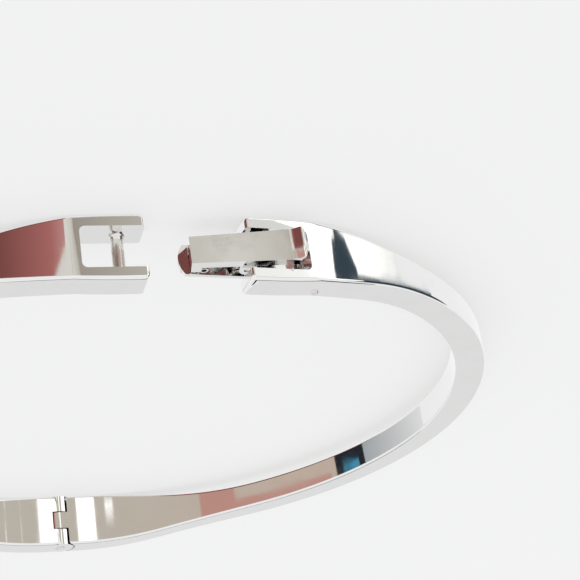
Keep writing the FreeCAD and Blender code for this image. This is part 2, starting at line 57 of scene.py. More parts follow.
# %% Sizes of the band
MM = 0.001
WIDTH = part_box("latch_bow")[1].z
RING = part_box("latch_bow")[1].x
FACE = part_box("latch_bow")[1].y
MIDDLE = WIDTH / 2
THICK = 2.6 * MM
INNER = FACE - THICK
FLAT = math.sqrt(RING ** 2 - FACE ** 2)
HINGE = Vector((0, THICK / 2 - RING, 0))
OPEN_ANGLE = math.radians(7.0)
TIP_GAP = 0.05 * MM
LATCH_SLOT, CATCH_SLOT = 4.75 * MM, 4.7 * MM
SLOT_LOW, SLOT_HIGH = MIDDLE - 1.62 * MM, MIDDLE + 1.62 * MM
SLOT_CORNER = 0.4 * MM
WAIST = 2.5 * MM
TAPER_START, TAPER_END = 1.5 * MM, 19.0 * MM
NEAR = 0.001 * MM
print("ring radius", round(RING / MM, 3), "face", round(FACE / MM, 3), "flat", round(FLAT / MM, 3))

# %% [markdown]
# ## Drawing outlines
# Each piece starts as a flat outline. A pen draws it the way a bench drawing is made: from a start
# point it runs straight to a place, or turns about a centre. The straight runs extrude a vertex,
# and the turns use the spin operator, so arcs stay true arcs.


# %% A pen that draws with extrude and spin
class Pen:
    """Draws a closed outline in the plane of two directions, then gives it thickness."""

    def __init__(self, right, up, base, start):
        self.mesh = bmesh.new()
        self.right, self.up, self.base = Vector(right), Vector(up), Vector(base)
        self.first = bmesh.ops.create_vert(self.mesh, co=self.place(start))["vert"][0]
        self.last = self.first

    def place(self, spot):
        return self.base + self.right * spot[0] + self.up * spot[1]

    def line(self, *spots):
        for spot in spots:
            made = bmesh.ops.extrude_vert_indiv(self.mesh, verts=[self.last])
            self.last = made["verts"][0]
            self.last.co = self.place(spot)

    def turn(self, centre, degrees, steps):
        """A positive angle turns from right towards up."""
        made = bmesh.ops.spin(
            self.mesh, geom=[self.last], cent=self.place(centre), axis=self.right.cross(self.up),
            angle=math.radians(degrees), steps=steps, use_duplicate=False)
        self.last = [item for item in made["geom_last"] if isinstance(item, bmesh.types.BMVert)][0]

    def plate(self, shift):
        """Closes and fills the outline, and extrudes it by shift into a solid."""
        if (self.last.co - self.first.co).length > NEAR:
            self.mesh.edges.new((self.last, self.first))
        bmesh.ops.remove_doubles(self.mesh, verts=self.mesh.verts, dist=NEAR)
        bmesh.ops.contextual_create(self.mesh, geom=self.mesh.edges[:])
        made = bmesh.ops.extrude_face_region(self.mesh, geom=self.mesh.faces[:])
        moved = [item for item in made["geom"] if isinstance(item, bmesh.types.BMVert)]
        bmesh.ops.translate(self.mesh, verts=moved, vec=shift)
        bmesh.ops.recalc_face_normals(self.mesh, faces=self.mesh.faces[:])
        return self.mesh


# %% Rods, boxes and cuts
OFF_AXIS = math.radians(1.1)


def rod(x, y, radius, low, high, steps=96):
    """A round bar along +Z, turned a little so that no corner falls just on another piece's face."""
    mesh = bmesh.new()
    place = Matrix.Translation((x, y, (low + high) / 2)) @ Matrix.Rotation(OFF_AXIS, 4, "Z")
    bmesh.ops.create_cone(mesh, cap_ends=True, segments=steps, radius1=radius, radius2=radius,
                          depth=high - low, matrix=place)
    return mesh


def block(low, high):
    """A box between two corners, as a bmesh."""
    mesh = bmesh.new()
    bmesh.ops.create_cube(mesh, size=1)
    low, high = Vector(low), Vector(high)
    bmesh.ops.scale(mesh, verts=mesh.verts, vec=high - low)
    bmesh.ops.translate(mesh, verts=mesh.verts, vec=(low + high) / 2)
    return mesh


def as_object(mesh, name):
    data = bpy.data.meshes.new(name)
    mesh.to_mesh(data)
    mesh.free()
    piece = bpy.data.objects.new(name, data)
    bpy.context.scene.collection.objects.link(piece)
    return piece


def combine(mesh, tool, operation):
    """Cuts a tool from a mesh (DIFFERENCE) or joins it on (UNION), and returns the new bmesh."""
    work, helper = as_object(mesh, "work"), as_object(tool, "helper")
    step = work.modifiers.new("step", "BOOLEAN")
    step.object, step.operation, step.solver = helper, operation, "EXACT"
    result = bmesh.new()
    result.from_object(work, bpy.context.evaluated_depsgraph_get())
    for item in (work, helper):
        data = item.data
        bpy.data.objects.remove(item)
        bpy.data.meshes.remove(data)
    bmesh.ops.remove_doubles(result, verts=result.verts, dist=NEAR)
    return result


def soften(mesh, radius, steps, wanted=lambda middle: True, sharper=30):
    """Rounds the sharp edges whose middle passes a test, as a polishing wheel does."""
    mesh.edges.ensure_lookup_table()
    sharp = [edge for edge in mesh.edges
             if len(edge.link_faces) == 2 and edge.calc_face_angle() > math.radians(sharper)
             and wanted((edge.verts[0].co + edge.verts[1].co) / 2)]
    bmesh.ops.bevel(mesh, geom=sharp, offset=radius, offset_type="OFFSET", segments=steps,
                    profile=0.5, affect="EDGES", clamp_overlap=True, material=-1)
    return len(sharp)


CREASE = 36


def finish_piece(mesh, name, body, material, slot, *nodes):
    """Makes the object, shades it smooth, and puts it on its body in place of its CAD nodes."""
    open_edges = sum(1 for edge in mesh.edges if len(edge.link_faces) != 2)
    for face in mesh.faces:
        face.smooth = True
    for edge in mesh.edges:
        edge.smooth = not edge.is_manifold or edge.calc_face_angle() < math.radians(CREASE)
    piece = as_object(mesh, name)
    piece.data.materials.append(material)
    shading = piece.modifiers.new("flat faces stay flat", "WEIGHTED_NORMAL")
    shading.keep_sharp = True
    shading.weight = 60
    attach(piece, body)
    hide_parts(*nodes)
    print(name, len(piece.data.polygons), "faces,", open_edges, "open edges")
    return piece


# %% [markdown]
# ## The metal
# The bracelet is plated with a bright white metal and polished on a wheel. Such a finish is never
# perfectly even: the wheel leaves a faint waviness, handling leaves hairlines that only show in a
# reflection, and skin leaves a slight haze. One node group makes these marks, and each material
# places it with its own values. All lengths are in millimetres of the piece's own coordinates.


# %% Helpers for node trees
def add_node(tree, kind, label, **values):
    node = tree.nodes.new(kind)
    node.label = label
    for key, value in values.items():
        if hasattr(node, key):
            setattr(node, key, value)
        else:
            node.inputs[key.replace("_", " ")].default_value = value
    return node


def sum_of(tree, first, second, operation, label, **extra):
    """A Math node. first and second are sockets or numbers."""
    node = add_node(tree, "ShaderNodeMath", label, operation=operation, **extra)
    for socket, value in zip(node.inputs, (first, second)):
        if isinstance(value, (int, float)):
            socket.default_value = value
        else:
            tree.links.new(value, socket)
    return node.outputs[0]


def make_group(name, inputs, outputs):
    group = bpy.data.node_groups.new(name, "ShaderNodeTree")
    for label, kind, value in inputs:
        socket = group.interface.new_socket(label, in_out="INPUT", socket_type=kind)
        socket.default_value = value
    for label, kind in outputs:
        group.interface.new_socket(label, in_out="OUTPUT", socket_type=kind)
    return group, group.nodes.new("NodeGroupInput"), group.nodes.new("NodeGroupOutput")


# %% The polishing marks group
FLOAT, COLOUR = "NodeSocketFloat", "NodeSocketColor"
marks, given, made = make_group(
    "polishing marks",
    [("Base Roughness", FLOAT, 0.04), ("Haze", FLOAT, 0.05), ("Hairlines", FLOAT, 0.5),
     ("Hairline Density", FLOAT, 1.0), ("Waviness", FLOAT, 1.0), ("Wave Size", FLOAT, 0.25)],
    [("Roughness", FLOAT), ("Height", FLOAT), ("Dull", FLOAT)])
spot = add_node(marks, "ShaderNodeTexCoord", "piece coordinates")
to_mm = add_node(marks, "ShaderNodeVectorMath", "metres to mm", operation="SCALE", Scale=1000.0)
marks.links.new(spot.outputs["Object"], to_mm.inputs[0])


def hairlines(turn, stretch, size, width, label):
    """Thin lines along one direction: the places where a stretched noise crosses its middle value."""
    turned = add_node(marks, "ShaderNodeMapping", label, Rotation=turn, Scale=stretch)
    marks.links.new(to_mm.outputs[0], turned.inputs["Vector"])
    grain = add_node(marks, "ShaderNodeTexNoise", label, Scale=size, Detail=2.0, Roughness=0.6)
    marks.links.new(turned.outputs[0], grain.inputs["Vector"])
    off = sum_of(marks, sum_of(marks, grain.outputs["Fac"], 0.5, "SUBTRACT", label), 0.0, "ABSOLUTE", label)
    return sum_of(marks, 1.0, sum_of(marks, off, width, "DIVIDE", label), "SUBTRACT", label, use_clamp=True)


lines_one = hairlines((0.3, 0.5, 0.2), (0.25, 3.0, 3.0), 1.3, 0.012, "wheel lines")
lines_two = hairlines((1.1, 0.2, 0.9), (0.5, 5.0, 5.0), 0.9, 0.008, "wear lines")
lines_three = hairlines((0.1, 1.3, 2.1), (0.4, 7.0, 6.0), 0.7, 0.008, "cross lines")
where = add_node(marks, "ShaderNodeTexNoise", "where it was handled", Scale=0.35, Detail=3.0)
marks.links.new(to_mm.outputs[0], where.inputs["Vector"])
handled = add_node(marks, "ShaderNodeMapRange", "handled areas", interpolation_type="SMOOTHSTEP")
for key, value in (("From Min", 0.42), ("From Max", 0.66)):
    handled.inputs[key].default_value = value
marks.links.new(where.outputs["Fac"], handled.inputs["Value"])
lines = sum_of(marks, sum_of(marks, lines_one, lines_two, "MAXIMUM", "lines"), lines_three, "MAXIMUM", "lines")
lines = sum_of(marks, lines, given.outputs["Hairline Density"], "MULTIPLY", "density")
lines = sum_of(marks, lines, sum_of(marks, 0.25, handled.outputs[0], "ADD", "some everywhere"),
               "MULTIPLY", "more where handled")
pits = add_node(marks, "ShaderNodeTexVoronoi", "pin pricks", Scale=2.2)
marks.links.new(to_mm.outputs[0], pits.inputs["Vector"])
prick = sum_of(marks, 1.0, sum_of(marks, pits.outputs["Distance"], 0.05, "DIVIDE", "prick"),
               "SUBTRACT", "prick", use_clamp=True)
wave = add_node(marks, "ShaderNodeTexNoise", "wheel waviness", Detail=1.0, Roughness=0.4)
marks.links.new(to_mm.outputs[0], wave.inputs["Vector"])
marks.links.new(given.outputs["Wave Size"], wave.inputs["Scale"])

dull = sum_of(marks, handled.outputs[0], given.outputs["Haze"], "MULTIPLY", "haze")
scuffed = sum_of(marks, lines, given.outputs["Hairlines"], "MULTIPLY", "hairlines")
rough = sum_of(marks, given.outputs["Base Roughness"], dull, "ADD", "roughness")
rough = sum_of(marks, rough, sum_of(marks, scuffed, 0.12, "MULTIPLY", "rougher lines"), "ADD", "roughness")
height = sum_of(marks, sum_of(marks, wave.outputs["Fac"], given.outputs["Waviness"], "MULTIPLY", "waves"),
                sum_of(marks, scuffed, -0.02, "MULTIPLY", "cut lines"), "ADD", "height")
height = sum_of(marks, height, sum_of(marks, prick, -0.05, "MULTIPLY", "pricks"), "ADD", "height")
for label, source in (("Roughness", rough), ("Height", height), ("Dull", sum_of(
        marks, sum_of(marks, dull, 2.0, "MULTIPLY", "dull"), scuffed, "MAXIMUM", "dull", use_clamp=True))):
    marks.links.new(source, made.inputs[label])


# %% A plated metal
def plated_metal(name, colour, tarnish, depth=0.003, tint=None, **values):
    """Bright plating. colour shows where it is clean and tarnish where it is dull. depth is in mm."""
    material = bpy.data.materials.new(name)
    material.use_nodes = True
    tree = material.node_tree
    shader = tree.nodes["Principled BSDF"]
    shader.inputs["Metallic"].default_value = 1.0
    group = add_node(tree, "ShaderNodeGroup", "polishing marks", node_tree=marks)
    for key, value in values.items():
        group.inputs[key.replace("_", " ")].default_value = value
    blend = add_node(tree, "ShaderNodeMix", "clean to dull", data_type="RGBA")
    blend.inputs["A"].default_value = (*colour, 1)
    blend.inputs["B"].default_value = (*tarnish, 1)
    for socket in blend.inputs:
        if socket.type == "RGBA":
            socket.default_value = (*(colour if socket.name == "A" else tarnish), 1)
    tree.links.new(group.outputs["Dull"], blend.inputs[0])
    tree.links.new([socket for socket in blend.outputs if socket.type == "RGBA"][0],
                   shader.inputs["Base Color"])
    tree.links.new(group.outputs["Roughness"], shader.inputs["Roughness"])
    bump = add_node(tree, "ShaderNodeBump", "marks in relief", Strength=1.0)
    bump.inputs["Distance"].default_value = depth * MM
    tree.links.new(group.outputs["Height"], bump.inputs["Height"])
    tree.links.new(bump.outputs["Normal"], shader.inputs["Normal"])
    return material


WHITE_METAL, GREY_METAL = (0.86, 0.858, 0.85), (0.74, 0.735, 0.72)
band_plating = plated_metal("band plating", WHITE_METAL, GREY_METAL, 0.002, Base_Roughness=0.035,
                            Haze=0.03, Hairlines=0.35, Waviness=1.0, Wave_Size=0.22)
clasp_plating = plated_metal("clasp plating", WHITE_METAL, (0.7, 0.69, 0.66), 0.004, Base_Roughness=0.05,
                             Haze=0.06, Hairlines=0.6, Waviness=1.4, Wave_Size=0.5)
pin_steel = plated_metal("pin steel", (0.8, 0.79, 0.775), (0.55, 0.52, 0.48), 0.004, Base_Roughness=0.09,
                         Haze=0.1, Hairlines=0.8, Waviness=0.8, Wave_Size=1.2)
solder = plated_metal("soldered bar", (0.82, 0.8, 0.77), (0.42, 0.34, 0.27), 0.012, Base_Roughness=0.08,
                      Haze=0.28, Hairlines=1.0, Waviness=1.0, Wave_Size=1.6)

# %% [markdown]
# ## The two bows
# A maker rolls a flat strip, files the taper and saws the fork. Here the fork's outline is drawn and
# thickened, and its far end is spun round the ring's axis like bending the strip round a mandrel.
# Then the width is filed down towards the sides, the long edges are rounded, and the hinge is cut.
# Spinning gives even quads along the bend, which a mirror finish needs: uneven triangles would show
# as ripples in the reflections.


# %% The bent strip with its fork
def width_at(x):
    """The band's width at a distance from the middle plane: two curves of one bend."""
    share = min(max((abs(x) - TAPER_START) / (TAPER_END - TAPER_START), 0), 1)
    eased = 2 * share ** 2 if share < 0.5 else 1 - 2 * (1 - share) ** 2
    return WIDTH + (WAIST - WIDTH) * eased


def along(start, end, level, steps):
    """Evenly spaced spots on a straight run, so that the taper can bend it."""
    return [(start + (end - start) * step / steps, level) for step in range(steps + 1)]


def bent_strip():
    pen = Pen((1, 0, 0), (0, 0, 1), (0, FACE, 0), (TIP_GAP + TIP_ROUND, 0))
    pen.line(*along(TIP_GAP + TIP_ROUND, FLAT, 0, 16)[1:], *along(FLAT, TIP_GAP + TIP_ROUND, WIDTH, 16))
    pen.turn((TIP_GAP + TIP_ROUND, WIDTH - TIP_ROUND), 90, 8)
    pen.line((TIP_GAP, TIP_ROUND))
    pen.turn((TIP_GAP + TIP_ROUND, TIP_ROUND), 90, 8)
    mesh = pen.plate((0, -THICK, 0))
    end = [face for face in mesh.faces if all(abs(vert.co.x - FLAT) < NEAR for vert in face.verts)][0]
    inner_start = math.sqrt((RING - THICK) ** 2 - INNER ** 2)
    for vert in end.verts:
        if vert.co.y < FACE - THICK / 2:
            vert.co.x = inner_start
    edges = end.edges[:]
    bmesh.ops.delete(mesh, geom=[end], context="FACES_ONLY")
    past_hinge = 181 - math.degrees(math.asin(FLAT / RING))
    bmesh.ops.spin(mesh, geom=edges, cent=(0, 0, 0), axis=(0, 0, 1), angle=-math.radians(past_hinge),
                   steps=228, use_duplicate=False)
    bmesh.ops.bisect_plane(mesh, geom=mesh.verts[:] + mesh.edges[:] + mesh.faces[:], dist=NEAR / 10,
                           plane_co=(0, 0, 0), plane_no=(-1, 0, 0), clear_outer=True)
    bmesh.ops.holes_fill(mesh, edges=[edge for edge in mesh.edges if len(edge.link_faces) == 1], sides=0)
    for vert in mesh.verts:
        vert.co.z = MIDDLE + (vert.co.z - MIDDLE) * width_at(vert.co.x) / WIDTH
    bmesh.ops.recalc_face_normals(mesh, faces=mesh.faces[:])
    soften(mesh, EDGE_ROUND, 6, away_from_hinge)
    return mesh


def sawn_fork(mesh, depth):
    """Saws the slot and takes the burr off its edges."""
    pen = Pen((1, 0, 0), (0, 0, 1), (0, FACE + PAST, 0), (-PAST, SLOT_LOW))
    pen.line((depth - SLOT_CORNER, SLOT_LOW))
    pen.turn((depth - SLOT_CORNER, SLOT_LOW + SLOT_CORNER), 90, 8)
    pen.line((depth, SLOT_HIGH - SLOT_CORNER))
    pen.turn((depth - SLOT_CORNER, SLOT_HIGH - SLOT_CORNER), 90, 8)
    pen.line((-PAST, SLOT_HIGH))
    mesh = combine(mesh, pen.plate((0, -THICK - 2 * PAST, 0)), "DIFFERENCE")
    soften(mesh, SLOT_ROUND, 3, lambda middle: 0 < middle.x < depth + NEAR and middle.y > 0
           and abs(middle.z - MIDDLE) < SLOT_HIGH - MIDDLE + NEAR and (
               abs(middle.y - FACE) < NEAR or abs(middle.y - INNER) < NEAR))
    return mesh


# %% [markdown]
# The hinge has three knuckles: one in the middle of the right bow, two on the left bow. Each is a
# short round bar, a hair less thick than the band so that it never stands proud, and the other bow
# is hollowed to clear it.

# %% Round the edges and make the hinge knuckles
KNUCKLE, EAR_ROOM = THICK / 2, THICK / 2 + 0.18 * MM
PIN = 0.5 * MM
KNUCKLE_LOW, KNUCKLE_HIGH = MIDDLE - 0.85 * MM, MIDDLE + 0.85 * MM
SIDE_GAP, SLIP = 0.08 * MM, 0.01 * MM
PAST = 1.0 * MM
EDGE_ROUND, TIP_ROUND, SLOT_ROUND = 0.23 * MM, 0.4 * MM, 0.05 * MM


def away_from_hinge(middle):
    return middle.y > 0 or abs(middle.x) > 0.3 * MM


def at_hinge(middle):
    return middle.y < 0 and abs(middle.x) < 1.7 * MM


def hinge_end(mesh, rooms, knuckles):
    """Hollows the rooms and adds the knuckles. Both are lists of (low, high) along the hinge."""
    for low, high in rooms:
        mesh = combine(mesh, rod(HINGE.x, HINGE.y, EAR_ROOM, low, high), "DIFFERENCE")
    for low, high in knuckles:
        mesh = combine(mesh, rod(HINGE.x, HINGE.y, KNUCKLE - SLIP, low + SLIP, high - SLIP), "UNION")
    return mesh


right = sawn_fork(bent_strip(), LATCH_SLOT)
right = hinge_end(right, [(-PAST, KNUCKLE_LOW), (KNUCKLE_HIGH, WIDTH + PAST)],
                  [(KNUCKLE_LOW, KNUCKLE_HIGH)])
right = combine(right, rod(HINGE.x, HINGE.y, PIN + 0.03 * MM, -PAST, WIDTH + PAST), "DIFFERENCE")

# %% [markdown]
# Behind the right fork a pocket takes the rolled root of the tongue, and a cross rivet holds it.

# %% The tongue's pocket and rivet hole
TONGUE_HALF = 1.18 * MM
ROOT = Vector((5.55 * MM, INNER + 0.6 * MM, 0))
ROOT_RADIUS, RIVET = 0.6 * MM, 0.3 * MM
ROOM = 0.03 * MM
right = combine(right, block((LATCH_SLOT - SLOT_CORNER - 0.1 * MM, INNER - PAST, MIDDLE - TONGUE_HALF - ROOM),
                             (ROOT.x + ROOT_RADIUS + ROOM, ROOT.y + ROOT_RADIUS + ROOM,
                              MIDDLE + TONGUE_HALF + ROOM)), "DIFFERENCE")
right = combine(right, rod(ROOT.x, ROOT.y, RIVET, -PAST, WIDTH + PAST, 48), "DIFFERENCE")
right_bow = finish_piece(right, "right_bow", "latch_half", band_plating, "polished_band", "latch_bow")

# %% [markdown]
# The left bow is the same strip turned over. A mirror turns its faces inside out, so they are
# reversed. At rest the bracelet stands a little open, so the left bow is swung about the hinge.

# %% The left bow
SWING = (Matrix.Translation(HINGE) @ Matrix.Rotation(OPEN_ANGLE, 4, "Z") @ Matrix.Translation(-HINGE))
left = sawn_fork(bent_strip(), CATCH_SLOT)
left = hinge_end(left, [(KNUCKLE_LOW - SIDE_GAP, KNUCKLE_HIGH + SIDE_GAP)],
                 [(0, KNUCKLE_LOW - SIDE_GAP), (KNUCKLE_HIGH + SIDE_GAP, WIDTH)])
left = combine(left, rod(HINGE.x, HINGE.y, PIN, -PAST, WIDTH + PAST), "DIFFERENCE")
bmesh.ops.scale(left, verts=left.verts, vec=(-1, 1, 1))
bmesh.ops.reverse_faces(left, faces=left.faces[:])
bmesh.ops.transform(left, matrix=SWING, verts=left.verts)
left_bow = finish_piece(left, "left_bow", "catch_half", band_plating, "polished_band", "catch_bow")

# %% [markdown]
# ## The cross bar
# A short round wire is soldered across the left fork. Solder creeps up where the wire meets each
# arm, so the bar is turned from a profile that flares at both ends, and then made slightly lumpy.

# %% Turn the bar on its axis
BAR = Vector((-1.85 * MM, INNER + 0.87 * MM, 0))
BAR_RADIUS, COLLAR, SEAT = 0.45 * MM, 0.66 * MM, 0.3 * MM
FLARE = 0.42 * MM
pen = Pen((1, 0, 0), (0, 0, 1), BAR, (0, SLOT_LOW - SEAT))
pen.line((BAR_RADIUS, SLOT_LOW - SEAT), (BAR_RADIUS, SLOT_LOW), (COLLAR - 0.02 * MM, SLOT_LOW))
for step in range(1, 9):
    share = step / 8
    pen.line((BAR_RADIUS + (COLLAR - BAR_RADIUS) * (1 - share) ** 2.2, SLOT_LOW + FLARE * share))
pen.line(*[(BAR_RADIUS, SLOT_LOW + FLARE + (SLOT_HIGH - SLOT_LOW - 2 * FLARE) * step / 12)
           for step in range(1, 13)])
for step in range(7, -1, -1):
    share = step / 8
    pen.line((BAR_RADIUS + (COLLAR - BAR_RADIUS) * (1 - share) ** 2.2, SLOT_HIGH - FLARE * share))
pen.line((BAR_RADIUS, SLOT_HIGH), (BAR_RADIUS, SLOT_HIGH + SEAT), (0, SLOT_HIGH + SEAT))
bar = pen.mesh
bmesh.ops.spin(bar, geom=bar.verts[:] + bar.edges[:], cent=BAR, axis=(0, 0, 1), angle=math.tau,
               steps=48, use_merge=True, use_duplicate=False)
bmesh.ops.remove_doubles(bar, verts=bar.verts, dist=NEAR)
bmesh.ops.recalc_face_normals(bar, faces=bar.faces[:])
for vert in bar.verts:
    out = vert.co - BAR
    out.z = 0
    near_arm = max(0, 1 - min(vert.co.z - SLOT_LOW, SLOT_HIGH - vert.co.z) / (0.8 * MM))
    if SLOT_LOW < vert.co.z < SLOT_HIGH and out.length > NEAR:
        lump = noise.noise(vert.co / (0.45 * MM)) - 0.35
        vert.co += out.normalized() * min(lump * 0.05 * MM * (0.35 + near_arm), 0)
bmesh.ops.transform(bar, matrix=SWING, verts=bar.verts)
cross_bar = finish_piece(bar, "cross_bar", "catch_half", solder, "pins", "catch_bar")

# %% [markdown]
# ## The tongue
# The tongue is a thin springy plate. Its front edge is curved, its back end is rolled round the
# rivet, and a small lug on top of it carries the lever's pivot pin.

# %% Roll the tongue and cut its front
TONGUE_THICK = 0.36 * MM
TONGUE_FRONT, TONGUE_BOW = -4.55 * MM, 0.45 * MM
roll_meets = math.degrees(math.asin((ROOT_RADIUS - TONGUE_THICK) / ROOT_RADIUS))
pen = Pen((1, 0, 0), (0, 1, 0), (0, INNER, MIDDLE - TONGUE_HALF), (TONGUE_FRONT - PAST, 0))
pen.line((ROOT.x, 0))
pen.turn((ROOT.x, ROOT_RADIUS), 270 + roll_meets, 60)
pen.line((TONGUE_FRONT - PAST, TONGUE_THICK))
tongue = pen.plate((0, 0, 2 * TONGUE_HALF))
bow_radius = (TONGUE_BOW ** 2 + TONGUE_HALF ** 2) / (2 * TONGUE_BOW)
sweep = math.asin(TONGUE_HALF / bow_radius) + math.radians(3)
arc_x, arc_z = TONGUE_FRONT + bow_radius * (1 - math.cos(sweep)), bow_radius * math.sin(sweep)
front = Pen((1, 0, 0), (0, 0, 1), (0, INNER - PAST, MIDDLE), (arc_x, arc_z))
front.turn((TONGUE_FRONT + bow_radius, 0), 2 * math.degrees(sweep), 21)
front.line((arc_x, -TONGUE_HALF - PAST), (ROOT.x + PAST, -TONGUE_HALF - PAST),
           (ROOT.x + PAST, TONGUE_HALF + PAST), (arc_x, TONGUE_HALF + PAST))
tongue = combine(tongue, front.plate((0, 4 * PAST, 0)), "INTERSECT")

PIVOT = Vector((0.3 * MM, INNER + 1.23 * MM, MIDDLE))
LUG, LUG_HALF = 0.46 * MM, 0.45 * MM
pen = Pen((1, 0, 0), (0, 1, 0), (PIVOT.x, PIVOT.y, MIDDLE - LUG_HALF), (-LUG, INNER + 0.26 * MM - PIVOT.y))
pen.line((LUG, INNER + 0.26 * MM - PIVOT.y), (LUG, 0))
pen.turn((0, 0), 180, 24)
tongue = combine(tongue, pen.plate((0, 0, 2 * LUG_HALF)), "UNION")
for spot_at, hole in ((PIVOT, 0.25 * MM), (ROOT, RIVET)):
    tongue = combine(tongue, rod(spot_at.x, spot_at.y, hole, -PAST, WIDTH + PAST, 48), "DIFFERENCE")


def on_tongue_edge(middle):
    """True on the outline of the flat strip, and not round the lug's foot or the roll."""
    at_lug = abs(middle.x - PIVOT.x) < LUG + ROOM and abs(middle.z - MIDDLE) < LUG_HALF + ROOM
    return middle.x < ROOT.x - ROOT_RADIUS and not at_lug and middle.y < INNER + TONGUE_THICK + NEAR


soften(tongue, 0.1 * MM, 4, on_tongue_edge)
tongue_piece = finish_piece(tongue, "spring_tongue", "latch_half", clasp_plating, "polished_clasp", "tongue_plate")

# %% [markdown]
# ## The lever
# The lever is drawn from the side: the cover on top, the hook at the front, two round cheeks at the
# pivot, and the curled lip at the back with a scoop in front of it for the thumbnail. It is drawn
# tilted as it rests, thickened across, and filed narrower towards the hook.

# %% Draw the lever's side view
TILT = math.radians(12.0)
ALONG, UPWARD = (math.cos(TILT), math.sin(TILT), 0), (-math.sin(TILT), math.cos(TILT), 0)
REACH, LIP = 4.15 * MM, 4.2 * MM
TOP = THICK - 1.15 * MM
UNDER = 0.675 * MM
FOOT = (0.36 * MM + 0.07 * MM - 1.23 * MM + (REACH - 0.05 * MM) * math.sin(TILT)) / math.cos(TILT)
CHEEK = 0.62 * MM
LIP_RISE, LIP_ROUND, LIP_FLAT, SCOOP = 0.42 * MM, 0.16 * MM, 0.12 * MM, 0.8 * MM
BACK_HALF, FRONT_HALF = 1.25 * MM, 1.07 * MM
LIP_CORNER = 0.5 * MM
pen = Pen(ALONG, UPWARD, (PIVOT.x, PIVOT.y, MIDDLE - BACK_HALF), (-REACH, TOP))
pen.line((-REACH + 0.05 * MM, FOOT), (-REACH + 0.7 * MM, FOOT), (-REACH + 0.8 * MM, UNDER),
         (-CHEEK, UNDER), (-CHEEK, 0))
pen.turn((0, 0), 180, 24)
pen.line((CHEEK, UNDER), (LIP - 0.45 * MM, UNDER), (LIP, UNDER + 0.35 * MM), (LIP, TOP + LIP_RISE - LIP_ROUND))
pen.turn((LIP - LIP_ROUND, TOP + LIP_RISE - LIP_ROUND), 90, 6)
pen.line((LIP - LIP_ROUND - LIP_FLAT, TOP + LIP_RISE))
scoop_radius = (SCOOP ** 2 + LIP_RISE ** 2) / (2 * LIP_RISE)
scoop_sweep = math.degrees(math.asin(SCOOP / scoop_radius))
pen.turn((LIP - LIP_ROUND - LIP_FLAT - SCOOP, TOP + scoop_radius), -scoop_sweep, 14)
lever = pen.plate((0, 0, 2 * BACK_HALF))


# %% [markdown]
# Seen from above it narrows towards the hook and has two round corners at the lip. The lever is what
# the side view and the view from above have in common.

# %% Cut it to its outline from above
plan = Pen(ALONG, (0, 0, 1), (PIVOT.x, PIVOT.y, MIDDLE), (-REACH - PAST, -FRONT_HALF))
plan.line((-REACH, -FRONT_HALF), (LIP - LIP_CORNER, -BACK_HALF))
plan.turn((LIP - LIP_CORNER, LIP_CORNER - BACK_HALF), 90, 10)
plan.line((LIP, BACK_HALF - LIP_CORNER))
plan.turn((LIP - LIP_CORNER, BACK_HALF - LIP_CORNER), 90, 10)
plan.line((-REACH, FRONT_HALF), (-REACH - PAST, FRONT_HALF))
bmesh.ops.translate(plan.mesh, verts=plan.mesh.verts, vec=Vector(UPWARD) * -3 * MM)
lever = combine(lever, plan.plate(Vector(UPWARD) * 6 * MM), "INTERSECT")
soften(lever, 0.08 * MM, 3, sharper=38)

# %% Cut the room for the lug and the pin
lug_room = Pen(ALONG, UPWARD, (PIVOT.x, PIVOT.y, MIDDLE - LUG_HALF - 0.06 * MM), (-CHEEK - 0.1 * MM, -PAST))
lug_room.line((CHEEK + 0.1 * MM, -PAST), (CHEEK + 0.1 * MM, UNDER), (-CHEEK - 0.1 * MM, UNDER))
lever = combine(lever, lug_room.plate((0, 0, 2 * LUG_HALF + 0.12 * MM)), "DIFFERENCE")
lever = combine(lever, rod(PIVOT.x, PIVOT.y, 0.28 * MM, -PAST, WIDTH + PAST, 48), "DIFFERENCE")
snap_lever = finish_piece(lever, "snap_lever", "lever", clasp_plating, "polished_clasp", "latch_lever")

# %% [markdown]
# ## Pins
# The hinge pin and the tongue's rivet are cut flush and their ends are slightly rounded, which
# leaves the thin ring that shows round a pin's end. The hidden pin and spring stay as CAD made them.


# %% Pins with eased ends
def flush_pin(name, centre, radius, body, node):
    mesh = rod(centre.x, centre.y, radius, 0, WIDTH, 64)
    soften(mesh, 0.07 * MM, 4)
    return finish_piece(mesh, name, body, pin_steel, "pins", node)


hinge_pin = flush_pin("hinge_pin_flush", HINGE, PIN, "catch_half", "hinge_pin")
tongue_rivet = flush_pin("tongue_rivet_flush", ROOT, RIVET, "latch_half", "tongue_rivet")
for node in ("lever_pin", "bar_spring"):
    cad_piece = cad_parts[node]
    cad_piece.data.materials.clear()
    cad_piece.data.materials.append(pin_steel)

# %% [markdown]
# ## The stage
# A bright metal shows only what stands around it. The floor is plain and pale and the light is soft
# and even. Large coloured cards, which the camera never sees, stand around it the way a studio's
# cloths and flags do, and give the metal something to reflect.


# %% Floor and light
def plain_material(name, colour, glow):
    """A matt paint that also glows a little, as paper lit from behind does."""
    material = bpy.data.materials.new(name)
    material.use_nodes = True
    shader = material.node_tree.nodes["Principled BSDF"]
    shader.inputs["Base Color"].default_value = (*colour, 1)
    shader.inputs["Roughness"].default_value = 0.9
    shader.inputs["Specular IOR Level"].default_value = 0.1
    shader.inputs["Emission Color"].default_value = (1.0, 1.003, 1.0, 1)
    shader.inputs["Emission Strength"].default_value = glow
    return material


floor_mesh = bmesh.new()
bmesh.ops.create_grid(floor_mesh, x_segments=1, y_segments=1, size=3.0)
floor = as_object(floor_mesh, "floor")
floor.data.materials.append(plain_material("floor paint", (0.3, 0.302, 0.3), 0.59))
floor.visible_glossy = False

